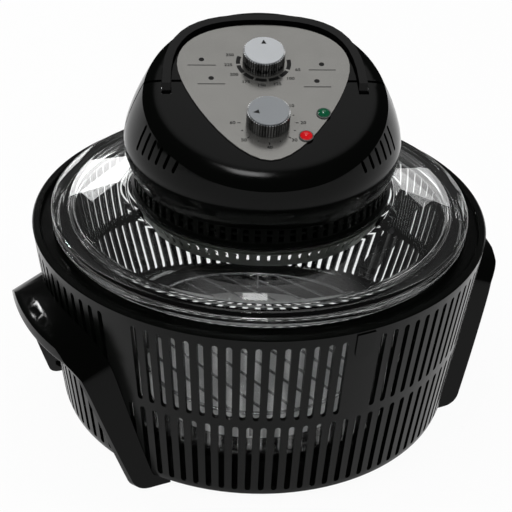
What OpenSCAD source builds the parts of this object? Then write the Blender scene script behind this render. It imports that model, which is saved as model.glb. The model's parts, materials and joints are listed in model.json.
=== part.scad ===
// Halogen oven: slotted stand with two side handles, glass bowl, wire rack,
// glass lid and a domed motor head with two dials and a folding carrying handle.
// Origin: centre of the feet, on the table. The dials face -Y.

/* [Stand] */
// Outer radius of the stand's rim
rim_r = 182.5; // [178:0.5:190]
// Height of the rim above the table
rim_z = 171.5; // [165:0.5:180]
// Width of the flat band on top of the rim
rim_band = 6.5; // [5:0.5:9]
// Outer radius of the wall just above its lower edge
wall_foot_r = 163.5; // [158:0.5:166]
// Thickness of the wall
wall_t = 3.5; // [2.5:0.5:4.5]
// Height of the wall's lower edge above the table
base_z = 10; // [8:0.5:13]
// Thickness of the floor
floor_t = 3; // [2.5:0.5:4]
// Inner radius of the floor ring
floor_hole_r = 96; // [85:1:98]
// Turn of the stand and its handles about the vertical axis
stand_turn = 21.4; // [0:0.1:60]
// Radial gap between the stand's inner ledge and the bowl
bowl_gap = 3; // [2:0.5:5]
// Thickness of the inner ledge
ledge_t = 3; // [2:0.5:4]

/* [Slots in the stand] */
// Upper slots between two pillars
upper_per_bay = 16; // [12:1:18]
// Lower slots in each sixth of the wall
lower_per_bay = 17; // [13:1:19]
// Width of a slot
slot_w = 4.6; // [3:0.1:5]
// Lower end of the upper slots
upper_lo_z = 92; // [90:1:100]
// Upper end of the upper slots
upper_hi_z = 163.5; // [150:0.5:164]
// Lower end of the lower slots
lower_lo_z = 17; // [16:0.5:30]
// Upper end of the lower slots
lower_hi_z = 85; // [60:1:86]
// Angle that a pillar takes out of the upper row
pillar_deg = 6.6; // [5:0.2:9]
// Diameter of the round boss on a pillar
boss_d = 15; // [10:0.5:17]
// Height of the boss centres
boss_z = 152; // [140:1:154]

/* [Side handles] */
// Half the width over a handle's two legs at the table
leg_half = 88; // [84:0.5:91]
// How much each leg leans in over a height of 100
leg_lean = 18; // [12:1:24]
// Angle by which each handle sits towards the front pillar
handle_swing = 4; // [0:0.1:6]
// How far a leg stands out from the wall at its foot
leg_out = 14; // [12:0.5:18]
// How far the grip's lower edge stands out from the wall
grip_out = 26.5; // [24:0.5:30]
// Height of the grip's outer lower edge
grip_z = 115; // [110:1:120]
// Height of the grip's top where it meets the wall
grip_top_z = 143; // [138:1:148]
// Height of the grip's outer lip
lip_z = 127; // [124:1:132]
// Thickness of the grip's skin and of the legs
grip_t = 4.5; // [3.5:0.5:6]
// Height over which the legs bend into the grip
crown_h = 50; // [40:1:60]
// Height of the straight part of that bend
crown_side = 16; // [8:1:24]
// How flat the crown is, as a share of the handle's width
crown_flat = 0.66; // [0.4:0.01:0.8]
// Slope of the grip's top along its ends, in degrees
grip_slope = 22; // [15:1:30]
// Diameter of the rubber pad under each leg
pad_d = 9; // [6:0.5:10]
// Height of the rubber pads
pad_h = 2; // [1.5:0.5:3]

/* [Bowl] */
// Outer radius of the bowl's flange
flange_r = 166.5; // [162:0.5:168]
// Inner radius of the bowl's mouth
mouth_r = 153.5; // [150:0.5:155]
// Outer radius of the bowl's wall where the corner begins
bowl_foot_r = 147; // [140:0.5:149]
// Radius of the bowl's lower corner
bowl_corner = 32; // [24:1:38]
// Thickness of the glass
glass_t = 4.5; // [3.5:0.5:5]
// Height of the face that carries the lid
seat_z = 176; // [175:0.5:182]
// Thickness of the bowl's flange
flange_t = 5.5; // [4:0.5:6]
// Height of the bowl's foot ring
bowl_foot_h = 2; // [1.5:0.5:3]
// Radius of the middle of the foot ring
foot_ring_r = 108; // [102:1:112]

/* [Rack] */
// Radius of the rack's outer ring
rack_r = 98; // [85:1:108]
// Thickness of the rack's wires
wire_d = 3; // [2.5:0.5:4]
// Height of the rack above the bowl's floor
rack_h = 24; // [18:1:32]
// Number of straight wires across the rack
rack_bars = 9; // [5:2:13]

/* [Lid] */
// Outer radius of the lid
lid_r = 167.5; // [164:0.5:170]
// Thickness of the lid's rim
lid_rim_h = 7.5; // [6:0.5:9]
// Width of the lid's rim
lid_rim_w = 12.5; // [10:0.5:14]
// Thickness of the lid's glass
lid_t = 4.5; // [3.5:0.5:5]
// Height of the flat top face that carries the head
land_z = 197.5; // [192:0.5:204]
// Radius of the flat top face
land_r = 107; // [106:0.5:112]
// Radius of the hole in the lid
lid_hole_r = 88; // [86:0.5:90]
// Radial play of the lid's lip in the bowl
lip_play = 0.6; // [0.4:0.1:1.2]
// Depth of the lip inside the bowl
lip_h = 5; // [3:0.5:7]
// Thickness of each silicone gasket
gasket_t = 1; // [0.8:0.1:1.6]

/* [Guard and heater] */
// Radius of the guard ring at its top
guard_top_r = 103.5; // [101:0.5:105]
// Radius of the guard ring at its bottom
guard_low_r = 94.6; // [91:0.2:97]
// Height of the guard ring's bottom
guard_low_z = 176.5; // [172:0.5:178]
// Sheet thickness of the guard ring and the reflector
sheet_t = 0.8; // [0.6:0.1:1.2]
// Number of slots in the guard ring
guard_slots = 80; // [60:4:88]
// Width of a slot in the guard ring
guard_slot_w = 2.3; // [1.5:0.1:2.8]
// Height of a slot in the guard ring
guard_slot_h = 8; // [5:0.5:8.5]
// Radius of the halogen tube's ring
tube_ring_r = 68; // [62:1:70]
// Diameter of the halogen tube
tube_d = 10; // [8:0.5:11]
// Radius of the hot air fan
hot_fan_r = 42; // [36:1:46]

/* [Head] */
// Largest radius of the dome
dome_r = 108.5; // [107:0.5:110]
// Height at which the dome is widest
dome_wide_z = 242; // [238:0.5:246]
// Radius of the dome's lower edge
dome_low_r = 102; // [101.5:0.5:104]
// Height of the dome's lower edge
dome_low_z = 214; // [212:0.5:216]
// Reach of the dome's curve above its widest place
dome_reach = 133; // [128:1:140]
// Thickness of the dome's wall
dome_t = 3; // [2.5:0.5:3.5]
// Tilt of the control face
face_tilt = 18; // [15:0.5:20]
// Height of the control face above the table, on the axis
face_z = 288; // [284:0.5:292]
// Thickness of the deck behind the control face
deck_t = 8; // [7:0.5:9]
// Outer radius of the vent skirt
skirt_r = 101; // [100:0.5:101.5]
// Number of vents in the skirt
skirt_vents = 72; // [48:4:80]
// Width of a vent in the skirt
vent_w = 4.2; // [3:0.1:5]
// Height of the side vents' lower ends
side_vent_z = 251; // [246:1:254]
// Width of a side vent
side_vent_w = 3; // [2:0.2:4]
// Length of the foremost side vent
side_vent_short = 10; // [8:1:14]
// Length of the rearmost side vent
side_vent_long = 21; // [15:1:22]
// How far a side vent leans towards the front
side_vent_lean = 3; // [0:0.5:5]

/* [Control face] */
// Half the width of the faceplate
plate_w = 67; // [62:0.5:69]
// Reach of the faceplate above the middle
plate_up = 61.5; // [56:0.5:61.5]
// Reach of the faceplate below the middle
plate_down = 87.5; // [84:0.5:90]
// Thickness of the faceplate
plate_t = 1; // [0.8:0.1:1.5]
// Place of the temperature dial on the face
temp_t = 17; // [12:1:22]
// Place of the timer dial on the face
timer_t = -49; // [-54:1:-44]
// Radius of a dial
dial_r = 16.3; // [14:0.1:18]
// Height of a dial
dial_h = 12.5; // [10:0.5:16]
// Number of flutes round a dial
dial_flutes = 48; // [30:2:60]
// Diameter of a dial's spindle
spindle_d = 6; // [5:0.5:7]
// Angle at which the timer's pointer stands at rest
timer_rest = 260; // [200:1:300]
// Diameter of a lamp's lens
lamp_d = 11; // [9:0.5:12]

/* [Carrying handle] */
// Half the width of the carrying handle
bail_w = 78.5; // [77:0.5:79.5]
// Reach of the carrying handle above the middle of the face
bail_up = 70.7; // [69.5:0.1:71.5]
// Width of the handle's arms
bail_arm = 6.5; // [5.5:0.5:7]
// Height of the handle above the face
bail_out = 4; // [3:0.5:5]
// Depth of the handle below the face
bail_in = 4; // [3:0.5:4.5]
// Place of the handle's pivots on the face
pivot_t = -9; // [-11:0.5:-8]
// Diameter of the pivot pins
pivot_d = 5; // [4:0.5:6]
// Gap between the handle and its channel
bail_gap = 0.6; // [0.4:0.1:1]

/* [Drive] */
// Diameter of the motor
motor_d = 60; // [50:1:62]
// Height of the motor
motor_h = 22; // [18:1:22]
// Diameter of the fan shaft
shaft_d = 6; // [5:0.5:7]
// Radius of the cooling fan
cool_fan_r = 50; // [40:1:52]

/* [Hidden] */
$fn = 96;

// A hair that keeps a cutter clear of the face it starts from
cut = 1;
// Turned faces that meet another body keep this gap
fit_gap = 0.3;
// A shaft or pin runs in its bore with this radial play
run_gap = 0.05;

// Stand
bay = 60;
wall_low_z = base_z + 6;
floor_top = base_z + floor_t;
// The bowl stands this hair above the floor
rest_gap = 0.02;
rim_in_r = rim_r - rim_band;
bowl_top_r = mouth_r + glass_t;
ledge_r = bowl_top_r + bowl_gap;
ledge_z = rim_z - ledge_t - 0.5;
slot_reach = 30;
boss_proud = 1.2;

// Handles
leg_low_z = pad_h;
leg_in_r = wall_foot_r - 10;
leg_foot_round = 10;
leg_screw_z = (lower_hi_z + upper_lo_z) / 2;
screw_d = 4;
screw_head_d = 6.5;
screw_head_h = 2.2;
leg_boss_d = 10;
leg_boss_h = 9;
leg_screw_in = 10;
handle_deg = 42;
handle_az = [-handle_swing, 180 + handle_swing];
arch_out = 15;
arch_lift = (wall_r(grip_top_z) - arch_out) * sin(grip_slope);
arch_lean = atan(leg_lean / 100 / cos(grip_slope));
arch_top_v = arch_lift + grip_top_z * cos(grip_slope);
arch_low_v = arch_top_v - crown_h;
pad_margin = 1.5;
pad_r = leg_in_r + pad_d / 2 + pad_margin;
pad_in = pad_d / 2 + 2 * pad_margin;

// Bowl
bowl_low_z = floor_top + bowl_foot_h;
bowl_floor = bowl_low_z + glass_t;
corner_x = bowl_foot_r - bowl_corner;
flange_low_z = seat_z - flange_t;

// Rack
rack_z = bowl_floor + rack_h - wire_d / 2;
rack_turn = 50;
bar_d = wire_d - 0.6;
rack_legs = 4;

// Lid and the stack under the head
lid_rim_top = seat_z + lid_rim_h;
lip_r = mouth_r - lip_play;
lid_under = land_z - lid_t;
skirt_z = land_z + gasket_t;
skirt_floor_t = 3;
skirt_top = skirt_z + skirt_floor_t;
skirt_t = 3.5;
flange_z = lid_under - gasket_t;
reflector_z = flange_z - sheet_t;
guard_sheet_z = reflector_z - sheet_t;
gasket_out_r = guard_r(flange_z) - 2 * sheet_t;
gasket_in_r = lid_hole_r + 4;
reflector_r = guard_r(guard_sheet_z) - 2 * sheet_t;
guard_flange_r = 76;
guard_lip_r = guard_low_r - 6;
guard_slot_top = guard_sheet_z - 0.4;
guard_screw_r = 82;
guard_screw_az = [30, 150, 270];
base_screw_r = 78;
base_screw_az = [45, 135, 225, 315];
column_d = 9;

// Heater
tube_z = guard_sheet_z - 0.4 - tube_d / 2;
tube_gap_deg = 40;
tube_from = 90 + tube_gap_deg / 2;
tube_sweep = 360 - tube_gap_deg;
end_w = tube_d + 2.5;
guard_wire_d = 2;
spoke_d = guard_wire_d - 0.4;
guard_wire_z = guard_low_z + sheet_t + guard_wire_d / 2;
guard_rings = [12, 36, 58, guard_lip_r + 2.5];
guard_spokes = 6;
clip_az = [210, 270, 330];

// Head
dome_power = 1.42;
seam_y = -2.5;
seam_w = 2.4;
seam_d = 1.4;
cap_t0 = -14;
cap_flat = 80;
cap_fall = 45;
cap_drop = 40;
inlet_z = 230.5;
rear_y = dome_r + fit_gap;
inlet_d = 16;

// Control face, measured along the face (t) and square to it (h)
temp_r = 18;
timer_r = 21;
control_depth = 18;
timer_depth = 22;
lamp_at = [[42.4, -39.3], [27.6, -63.2]];
dial_gap = 0.5;
dial_cap_t = 1;
control_screw_r = 11;
control_screw_d = 3;

// Carrying handle
bail_floor = bail_in + 0.8;
pivot_h = -3.6;
hub_r = 4;
hub_relief = 4.2;
bail_low_t = pivot_t - hub_r - hub_relief;
pin_len = 6;
plunger_d = 4;
plunger_t = bail_up - bail_arm / 2 - 0.6;

// Side vents, numbered from the front
side_vent_count = 6;
side_vent_from = -46;
side_vent_step = 4.8;

// Small parts of the controls
spindle_seat = 6;
screw_hole_d = 3.2;
control_head_d = 5.5;
end_az = [90 - tube_gap_deg / 2, 90 + tube_gap_deg / 2];

// Drive
shaft_hole_r = 7;
hot_fan_z = 182.9;
nut_h = 2.2;
shaft_low = guard_wire_z + guard_wire_d / 2 + 0.8;
motor_z = skirt_top + 18.5;
bracket_t = 2;
bracket_leg_r = 62;
shaft_top = motor_z + motor_h - 2;

// Points of an arc from angle a0 to a1 about (x, z)
function arc(x, z, r, a0, a1, n = 8) =
    [for (i = [0:n]) let (a = a0 + (a1 - a0) * i / n) [x + r * cos(a), z + r * sin(a)]];

// Points of a curve that leaves p0 towards p1 and reaches p3 from p2
function bend(p0, p1, p2, p3, n = 12) =
    [for (i = [0:n]) let (u = i / n, v = 1 - u)
        v * v * v * p0 + 3 * v * v * u * p1 + 3 * v * u * u * p2 + u * u * u * p3];

// The same points in reverse order
function back(p) = [for (i = [len(p) - 1:-1:0]) p[i]];

// The same points on the other side of the middle, in reverse order
function mirrored(p) = [for (i = [len(p) - 1:-1:0]) [-p[i][0], p[i][1]]];

// Outer radius of the stand's wall at height z
function wall_r(z) =
    wall_foot_r + (rim_r - wall_foot_r) * (z - wall_low_z) / (rim_z - wall_low_z);

// Outer radius of the guard ring at height z
function guard_r(z) =
    guard_low_r + (guard_top_r - guard_low_r) * (z - guard_low_z) / (lid_under - guard_low_z);

// Radius of the dome above and below its widest place
function dome_high_r(z) =
    dome_r * pow(1 - pow((z - dome_wide_z) / dome_reach, dome_power), 1 / dome_power);
function dome_wide_r(z) =
    dome_r - (dome_r - dome_low_r) * pow((dome_wide_z - z) / (dome_wide_z - dome_low_z), 2.5);
function dome_at(z) = z > dome_wide_z ? dome_high_r(z) : dome_wide_r(z);

// How far a leg's outer face is from the handle's middle at height z
function leg_side(z) = leg_half - z * leg_lean / 100;

// Azimuth of a leg's screw, from the handle's middle
function leg_screw_az() =
    asin((leg_side(leg_screw_z) - leg_screw_in) / wall_r(leg_screw_z));

// Half outlines on the control face, from the top middle to the bottom
plate_half = concat(
    bend([0, plate_up], [0.6 * plate_w, plate_up], [plate_w, plate_up - 16.5], [plate_w, 15]),
    bend([plate_w, 15], [plate_w, -12], [0.42 * plate_w, -plate_down], [0, -plate_down]));

function bail_half(w, up, low) = concat(
    bend([0, up], [0.61 * w, up], [w, 0.82 * up], [w, pivot_t + 3]),
    [[w, low]]);

// ---------- helpers ----------

// Puts children on the control face: x across, y up the face, z out of it
module on_face(s = 0, t = 0, h = 0) {
    translate([0, 0, face_z])
        rotate([face_tilt, 0, 0])
            translate([s, t, h])
                children();
}

// A slot's outline: length along y, width along x, both ends round
module slot_outline(l, w, n = 4) {
    polygon(concat(
        arc(0, l / 2 - w / 2, w / 2, 0, 180, n),
        arc(0, w / 2 - l / 2, w / 2, 180, 360, n)));
}

// A cutter that points outwards from the axis at height z
module radial(az, r, z) {
    rotate([0, 0, az])
        translate([r, 0, z])
            rotate([90, 0, 90])
                children();
}

// A flat ring between two radii
module washer(r1, r0, t) {
    difference() {
        cylinder(r = r1, h = t);
        translate([0, 0, -cut])
            cylinder(r = r0, h = t + 2 * cut);
    }
}

// A pan-head screw with its head's lower face on the origin, shank along +z
module screw(d, head_d, head_h, l) {
    translate([0, 0, -head_h])
        cylinder(d = head_d, h = head_h);
    cylinder(d = d, h = l);
}

// ---------- stand ----------

module basket_profile() {
    polygon([
        [floor_hole_r, base_z],
        [wall_foot_r - 4, base_z],
        [wall_foot_r - 1, base_z + 2.5],
        [wall_foot_r, wall_low_z],
        [rim_r, rim_z - 1],
        [rim_r - 1, rim_z],
        [rim_in_r + 1, rim_z],
        [rim_in_r, rim_z - 1],
        [rim_in_r, ledge_z],
        [ledge_r, ledge_z],
        [ledge_r, ledge_z - ledge_t],
        [wall_r(ledge_z - ledge_t) - wall_t, ledge_z - ledge_t],
        [wall_foot_r - wall_t, wall_low_z],
        [wall_foot_r - wall_t - 3, floor_top],
        [floor_hole_r, floor_top]
    ]);
}

// Raised tongue that runs down a pillar from the rim
module pillar_tongue() {
    intersection() {
        rotate_extrude()
            polygon([
                [wall_r(boss_z - boss_d) - 1, boss_z - boss_d],
                [wall_r(boss_z - boss_d) + boss_proud, boss_z - boss_d],
                [wall_r(rim_z - 3) + boss_proud, rim_z - 3],
                [wall_r(rim_z - 3) - 1, rim_z - 3]
            ]);
        radial(0, rim_r - slot_reach, boss_z)
            linear_extrude(2 * slot_reach)
                union() {
                    circle(d = boss_d);
                    translate([-boss_d / 2, 0])
                        square([boss_d, rim_z - boss_z]);
                }
    }
}

module stand_basket() {
    upper_pitch = (bay - pillar_deg) / upper_per_bay;
    lower_pitch = bay / lower_per_bay;
    color("#1b1b1c")
        rotate([0, 0, stand_turn])
            difference() {
                union() {
                    rotate_extrude()
                        basket_profile();
                    for (side = [90, 270])
                        rotate([0, 0, side])
                            pillar_tongue();
                }
                for (b = [0:5], i = [0:upper_per_bay - 1])
                    radial(b * bay + bay / 2 + pillar_deg / 2 + (i + 0.5) * upper_pitch,
                           rim_r - slot_reach, (upper_lo_z + upper_hi_z) / 2)
                        linear_extrude(2 * slot_reach)
                            slot_outline(upper_hi_z - upper_lo_z, slot_w);
                for (i = [0:6 * lower_per_bay - 1])
                    radial(bay / 2 + (i + 0.5) * lower_pitch,
                           rim_r - slot_reach - 10, (lower_lo_z + lower_hi_z) / 2)
                        linear_extrude(2 * slot_reach)
                            slot_outline(lower_hi_z - lower_lo_z, slot_w);
                for (side = handle_az)
                    rotate([0, 0, side])
                        leg_screw_spots() {
                            translate([0, 0, -cut])
                                cylinder(d = screw_d + 0.4, h = wall_t + 4 * cut);
                            translate([0, 0, -2 * cut])
                                cylinder(d = screw_head_d + 0.5, h = 2.6 * cut);
                        }
            }
}

// Puts children on the wall's inner face at a handle's screws, with z pointing outwards
module leg_screw_spots() {
    for (s = [-1, 1])
        rotate([0, 0, s * leg_screw_az()])
            translate([wall_r(leg_screw_z) - wall_t, 0, leg_screw_z])
                rotate([0, 90, 0])
                    children();
}

// The space that the stand takes up, grown by a gap
module stand_envelope(gap) {
    rotate_extrude()
        polygon([
            [0, base_z],
            [wall_foot_r - 4 + gap, base_z],
            [wall_foot_r - 1 + gap, base_z + 2.5],
            [wall_foot_r + gap, wall_low_z],
            [rim_r + gap, rim_z],
            [0, rim_z]
        ]);
}

// Section of the grip: a skin that leans out from the wall, rounds over and hangs down
module grip_profile() {
    r = wall_r(grip_z) + grip_out;
    in_r = wall_r(grip_top_z) - wall_t;
    polygon([
        [r - 2, grip_z],
        [r - 0.5, grip_z + 1],
        [r, grip_z + 3],
        [r - 0.8, lip_z - 3],
        [r - 2.5, lip_z - 1],
        [r - 5, lip_z],
        [in_r, grip_top_z],
        [in_r, grip_top_z - grip_t],
        [r - 5.5, lip_z - grip_t],
        [r - grip_t, lip_z - grip_t - 1],
        [r - grip_t, grip_z]
    ]);
}

// Section of a leg
module leg_profile() {
    foot_r = wall_r(wall_low_z) + leg_out;
    r = wall_r(grip_z) + grip_out;
    polygon(concat(
        [[leg_in_r, leg_low_z]],
        arc(foot_r - leg_foot_round, leg_low_z + leg_foot_round, leg_foot_round, 270, 350, 6),
        [
            [r - 5, grip_z - 10],
            [r - 0.5, grip_z + 1],
            [r, grip_z + 3],
            [r - 0.8, lip_z - 3],
            [r - 5, lip_z],
            [wall_r(grip_top_z) - wall_t, grip_top_z],
            [leg_in_r, grip_top_z]
        ]));
}

// Section of the foot that a pad is on
module foot_profile() {
    translate([leg_in_r, leg_low_z])
        square([pad_d + 2 * pad_margin, grip_t]);
}

// A leg's side in the outline of a handle: how far out it is at height v along its ends
function arch_side(v, inset) =
    leg_half - inset / cos(arch_lean) - tan(arch_lean) * (v - arch_lift);

// The crown of a handle's outline, from a leg to the middle, kept back by an inset
function arch_crown(inset) = bend(
    [arch_side(arch_low_v, inset), arch_low_v],
    [arch_side(arch_top_v - crown_side, inset), arch_top_v - crown_side],
    [crown_flat * leg_half, arch_top_v - inset],
    [0, arch_top_v - inset]);

// Runs an outline of a handle outwards and downwards along the slope of its ends
module along_ends(outline) {
    rotate([0, grip_slope, 0])
        rotate([90, 0, 90])
            linear_extrude(2 * rim_r)
                polygon(concat(outline, mirrored(outline)));
}

module handle_arch(inset) {
    along_ends(concat([[arch_side(0, inset), 0]], arch_crown(inset)));
}

// The share of a handle in the legs: bands along its two sides
module leg_bands(w) {
    difference() {
        handle_arch(0);
        along_ends(concat([[arch_side(-rim_r, w), -rim_r]], arch_crown(w)));
    }
}

// A handle on the stand's +X side
module side_handle() {
    difference() {
        union() {
            intersection() {
                turned()
                    grip_profile();
                handle_arch(0);
            }
            intersection() {
                turned()
                    leg_profile();
                leg_bands(grip_t);
            }
            intersection() {
                turned()
                    foot_profile();
                leg_bands(pad_d + 2 * pad_margin);
            }
            intersection() {
                leg_screw_spots()
                    cylinder(d = leg_boss_d, h = wall_t + leg_boss_h);
                handle_arch(1);
            }
        }
        stand_envelope(fit_gap);
        leg_screw_spots()
            cylinder(d = screw_d, h = wall_t + leg_boss_h - 1);
    }
}

// A section turned about the stand's axis over the width of a handle
module turned() {
    rotate([0, 0, -handle_deg])
        rotate_extrude(angle = 2 * handle_deg)
            children();
}

module handle_left() {
    color("#161617")
        rotate([0, 0, stand_turn + handle_az[1]])
            side_handle();
}

module handle_right() {
    color("#161617")
        rotate([0, 0, stand_turn + handle_az[0]])
            side_handle();
}

module handle_screws() {
    color("#9a9a9c")
        rotate([0, 0, stand_turn])
            for (side = handle_az)
                rotate([0, 0, side])
                    leg_screw_spots()
                        translate([0, 0, 0.6 * cut])
                            screw(screw_d, screw_head_d, screw_head_h, wall_t + leg_boss_h - 2);
}

module foot_pads() {
    color("#0e0e0e")
        rotate([0, 0, stand_turn])
            for (side = handle_az, s = [-1, 1])
                rotate([0, 0, side + s * asin((leg_half - pad_in) / pad_r)])
                    translate([pad_r, 0, 0])
                        cylinder(d = pad_d, h = pad_h);
}

// ---------- bowl and rack ----------

module bowl_profile() {
    inner = bowl_corner - glass_t;
    corner_z = bowl_low_z + bowl_corner;
    polygon(concat(
        [
            [0, bowl_low_z],
            [foot_ring_r - 5, bowl_low_z],
            [foot_ring_r - 4, floor_top + rest_gap],
            [foot_ring_r + 4, floor_top + rest_gap],
            [foot_ring_r + 5, bowl_low_z]
        ],
        arc(corner_x, corner_z, bowl_corner, 270, 355, 8),
        [
            [bowl_top_r, flange_low_z - 4],
            [bowl_top_r + 2, flange_low_z - 1],
            [bowl_top_r + 4, flange_low_z],
            [flange_r - 1.5, flange_low_z],
            [flange_r, flange_low_z + 1.5],
            [flange_r, seat_z - 1.5],
            [flange_r - 1.5, seat_z],
            [mouth_r + 1, seat_z],
            [mouth_r, seat_z - 1]
        ],
        arc(corner_x, corner_z, inner, 355, 270, 8),
        [[0, bowl_floor]]));
}

module glass_bowl() {
    color("#cfe0df")
        rotate_extrude()
            bowl_profile();
}

module rack_bar(y) {
    half = sqrt(rack_r * rack_r - y * y);
    translate([-half, y, rack_z])
        rotate([0, 90, 0])
            cylinder(d = bar_d, h = 2 * half, $fn = 24);
}

module rack_leg() {
    translate([rack_r, 0, bowl_floor])
        cylinder(d = bar_d, h = rack_z - bowl_floor, $fn = 24);
}

module wire_rack() {
    color("#c9cacc")
        rotate([0, 0, -rack_turn]) {
            translate([0, 0, rack_z])
                rotate_extrude()
                    translate([rack_r, 0])
                        circle(d = wire_d, $fn = 24);
            for (i = [0:rack_bars - 1])
                rack_bar(-rack_r + (i + 1) * 2 * rack_r / (rack_bars + 1));
            for (i = [0:rack_legs - 1])
                rotate([0, 0, (i + 0.5) * 360 / rack_legs])
                    rack_leg();
        }
}

// ---------- lid ----------

module lid_profile() {
    lip_in = lip_r - lid_t + 1;
    rim_in = lid_r - lid_rim_w;
    polygon([
        [lid_hole_r, lid_under],
        [lid_hole_r, land_z],
        [land_r - 2, land_z],
        [land_r + 3, land_z - 1.2],
        [rim_in - 1, lid_rim_top - 0.6],
        [rim_in + 1.5, lid_rim_top],
        [lid_r - 2.5, lid_rim_top],
        [lid_r - 0.7, lid_rim_top - 0.8],
        [lid_r, lid_rim_top - 2.5],
        [lid_r, seat_z + 1.5],
        [lid_r - 1.5, seat_z],
        [lip_r, seat_z],
        [lip_r, seat_z - lip_h + 1],
        [lip_r - 1, seat_z - lip_h],
        [lip_in, seat_z - lip_h],
        [lip_in, lid_rim_top - lid_t + 1.2],
        [land_r, lid_under]
    ]);
}

module glass_lid() {
    color("#d6e4e3")
        rotate_extrude()
            lid_profile();
}

module upper_gasket() {
    color("#3a3a3a")
        translate([0, 0, land_z])
            washer(gasket_out_r, gasket_in_r, gasket_t);
}

module lower_gasket() {
    color("#3a3a3a")
        translate([0, 0, flange_z])
            washer(gasket_out_r, gasket_in_r, gasket_t);
}

// Puts children at each of the places where a screw comes up from below
module around(r, angles) {
    for (a = angles)
        rotate([0, 0, a])
            translate([r, 0, 0])
                children();
}

module skirt_profile() {
    lip = skirt_r - skirt_t;
    polygon([
        [shaft_hole_r, skirt_z],
        [skirt_r + 2.5, skirt_z],
        [skirt_r + 2.5, skirt_z + 1.5],
        [skirt_r, skirt_z + 2.5],
        [skirt_r, dome_low_z],
        [lip + 1.1, dome_low_z],
        [lip + 1.1, dome_low_z + 3.5],
        [lip, dome_low_z + 3.5],
        [lip, skirt_top],
        [shaft_hole_r, skirt_top]
    ]);
}

module vent_skirt() {
    vent_low = skirt_top + 0.8;
    vent_high = dome_low_z - 1.5;
    color("#1d1d1f") {
        difference() {
            union() {
                rotate_extrude()
                    skirt_profile();
                translate([0, 0, flange_z])
                    around(guard_screw_r, guard_screw_az)
                        cylinder(d = column_d - 1, h = skirt_z - flange_z + 1);
            }
            for (i = [0:skirt_vents - 1])
                radial(i * 360 / skirt_vents, skirt_r - skirt_t - 3, (vent_low + vent_high) / 2)
                    linear_extrude(skirt_t + 6)
                        square([vent_w, vent_high - vent_low], center = true);
            translate([0, 0, flange_z - cut])
                around(guard_screw_r, guard_screw_az)
                    cylinder(d = screw_d, h = 8);
            translate([0, 0, skirt_z - cut]) {
                around(base_screw_r, base_screw_az)
                    cylinder(d = screw_d + 0.4, h = skirt_floor_t + 2 * cut);
                around(bracket_leg_r, guard_screw_az)
                    cylinder(d = screw_d + 0.4, h = skirt_floor_t + 2 * cut);
            }
        }
        translate([0, 0, (vent_low + vent_high) / 2 - 1])
            washer(skirt_r - 1.6, skirt_r - skirt_t, 2);
    }
}

// ---------- head housing ----------

// The dome's outside, drawn in by a wall's thickness
module dome_solid(inset) {
    rise = dome_wide_z - dome_low_z;
    low = inset > seam_d ? dome_low_z - cut : dome_low_z;
    rotate_extrude()
        polygon(concat(
            [[0, low], [dome_low_r - inset, low]],
            [for (i = [1:4]) let (z = dome_low_z + i * rise / 4) [dome_at(z) - inset, z]],
            [for (i = [1:9]) let (z = dome_wide_z + i * 9) [dome_at(z) - inset, z]],
            [[0, dome_wide_z + 81]]));
}

// Everything below the crowned control face, sunk by a depth
module face_cap(sink) {
    on_face(0, cap_t0, -sink)
        rotate_extrude()
            polygon(concat(
                [[0, -2 * dome_r], [2 * dome_r, -2 * dome_r], [2 * dome_r, -cap_drop]],
                [for (i = [5:-1:0]) let (q = 0.18 * i)
                    [cap_flat + q * cap_fall, -cap_drop * (1 - sqrt(1 - q * q))]],
                [[0, 0]]));
}

// Everything below a plane parallel to the control face
module below_face(h) {
    on_face(0, 0, h - 4 * dome_r)
        translate([-2 * dome_r, -2 * dome_r, 0])
            cube([4 * dome_r, 4 * dome_r, 4 * dome_r]);
}

// The side of the seam that a half of the dome is on, kept back from the seam
module seam_side(s, gap) {
    translate([-2 * dome_r, s > 0 ? seam_y + gap : seam_y - gap - 4 * dome_r, 0])
        cube([4 * dome_r, 4 * dome_r, 4 * dome_r]);
}

module half_dome(s) {
    difference() {
        union() {
            intersection() {
                dome_solid(0);
                face_cap(0);
                seam_side(s, seam_w / 2);
            }
            intersection() {
                dome_solid(seam_d);
                face_cap(seam_d);
                seam_side(s, 0);
            }
        }
        intersection() {
            dome_solid(dome_t);
            below_face(-deck_t);
        }
        handle_channel();
    }
}

// The outline of the carrying handle's band, grown on all sides
module bail_outline(grow, low) {
    o = bail_half(bail_w + grow, bail_up + grow, low);
    i = bail_half(bail_w - bail_arm - grow, bail_up - bail_arm - grow, low);
    polygon(concat(o, back(i), [for (p = i) [-p[0], p[1]]], mirrored(o)));
}

module handle_channel() {
    on_face(0, 0, -bail_floor)
        linear_extrude(bail_floor + 10)
            bail_outline(bail_gap, bail_low_t);
    for (s = [-1, 1])
        on_face(s * (bail_w - bail_arm / 2), pivot_t, pivot_h)
            rotate([0, 90, 0])
                cylinder(r = hub_r + 0.5, h = bail_arm + 2 * bail_gap, center = true);
}

// Thickening under the deck around the carrying handle's pivots
module pivot_blocks() {
    for (s = [-1, 1])
        on_face(s * (bail_w - bail_arm / 2), pivot_t, 0)
            translate([-bail_arm, -hub_r - 3, -deck_t - 3])
                cube([2 * bail_arm, 2 * hub_r + 6, 4]);
}

module columns(angles) {
    intersection() {
        translate([0, 0, skirt_top])
            around(base_screw_r, angles)
                cylinder(d = column_d, h = dome_reach);
        below_face(-deck_t + 1);
        dome_solid(dome_t - 1);
    }
}

module column_bores(angles) {
    translate([0, 0, skirt_top - cut])
        around(base_screw_r, angles)
            cylinder(d = screw_d, h = 11);
}

// Six slanting vents on the right of the front; low end, slant and length by number
module side_vents() {
    for (i = [0:side_vent_count - 1]) {
        l = side_vent_short + i * (side_vent_long - side_vent_short) / (side_vent_count - 1);
        radial(side_vent_from + i * side_vent_step - 3, dome_r - 30, side_vent_z + l / 2 - 2)
            rotate([0, 0, asin(side_vent_lean / l)])
                linear_extrude(40)
                    slot_outline(l, side_vent_w);
    }
}

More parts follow.
